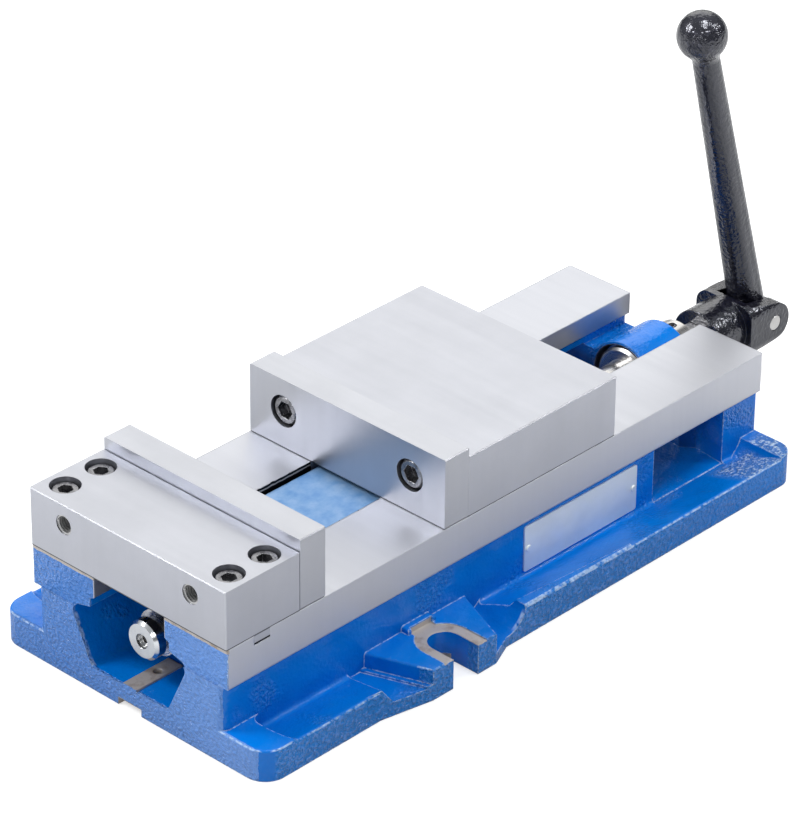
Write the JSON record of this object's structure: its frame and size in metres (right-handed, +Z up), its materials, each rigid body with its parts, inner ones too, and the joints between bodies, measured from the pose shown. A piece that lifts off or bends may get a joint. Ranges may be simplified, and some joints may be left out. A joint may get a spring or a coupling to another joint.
{
  "type": "angle lock machine vise",
  "caption": "Milling machine vise with a fixed jaw, a screw-driven jaw that is pulled down as it closes, hardened jaw plates, slotted base ears and a folding handle.",
  "frame": {"origin": "centre of the bed's footprint on its underside", "axes": "+X from the fixed jaw to the handle, +Y to the side without the nameplate, +Z up"},
  "size_m": [0.5338, 0.224, 0.262],
  "materials": {
    "blue_casting": "gloss blue paint over rough cast iron, bare and ground on the rails",
    "blue_nut": "blue paint over ductile iron, bare at the machined front end",
    "ground_steel": "fine ground steel with straight grain",
    "jaw_plate_steel": "hardened and ground steel",
    "black_screws": "blackened steel",
    "turned_steel": "bright turned steel",
    "bearing_steel": "hardened and ground steel",
    "black_handle": "gloss black enamel over cast steel",
    "plate_aluminium": "satin aluminium, bare"
  },
  "bodies": {
    "bed": {"bed": "blue_casting", "fixed_jaw": "ground_steel", "fixed_jaw_plate": "jaw_plate_steel", "fixed_jaw_plate_screws": "black_screws", "fixed_jaw_bolts": "black_screws", "thrust_race_rear": "bearing_steel", "nameplate": "plate_aluminium", "nameplate_rivets": "plate_aluminium"},
    "screw": {"screw": "turned_steel", "front_collar": "turned_steel", "front_collar_screw": "black_screws", "thrust_race_front": "bearing_steel", "needle_cage": "bearing_steel", "needles": "bearing_steel", "rear_collar": "turned_steel", "rear_collar_screw": "black_screws"},
    "jaw": {"movable_jaw": "ground_steel", "movable_jaw_plate": "jaw_plate_steel", "movable_jaw_plate_screws": "black_screws", "nut": "blue_nut", "half_ball_segment": "bearing_steel", "jaw_set_screw": "black_screws"},
    "handle_head": {"handle_head": "black_handle", "handle_pin": "turned_steel"},
    "handle_arm": {"handle_arm": "black_handle"}
  },
  "joints": [
    {"name": "screw_spin", "type": "hinge", "parent": "bed", "child": "screw", "pos_m": [0, 0, 0.0405], "axis": [1, 0, 0], "range_deg": [-6728, 9355]},
    {"name": "jaw_slide", "type": "slide", "parent": "bed", "child": "jaw", "axis": [1, 0, 0], "range_m": [-0.0935, 0.13]},
    {"name": "handle_pull", "type": "slide", "parent": "screw", "child": "handle_head", "axis": [1, 0, 0], "range_m": [0, 0.026]},
    {"name": "arm_fold", "type": "hinge", "parent": "handle_head", "child": "handle_arm", "pos_m": [0.3, 0, 0.0405], "axis": [0, 1, 0], "range_deg": [0, 105]}
  ],
  "couplings": [
    {"joint": "jaw_slide", "follows": "screw_spin", "m_per_rad": 0.00079577}
  ]
}
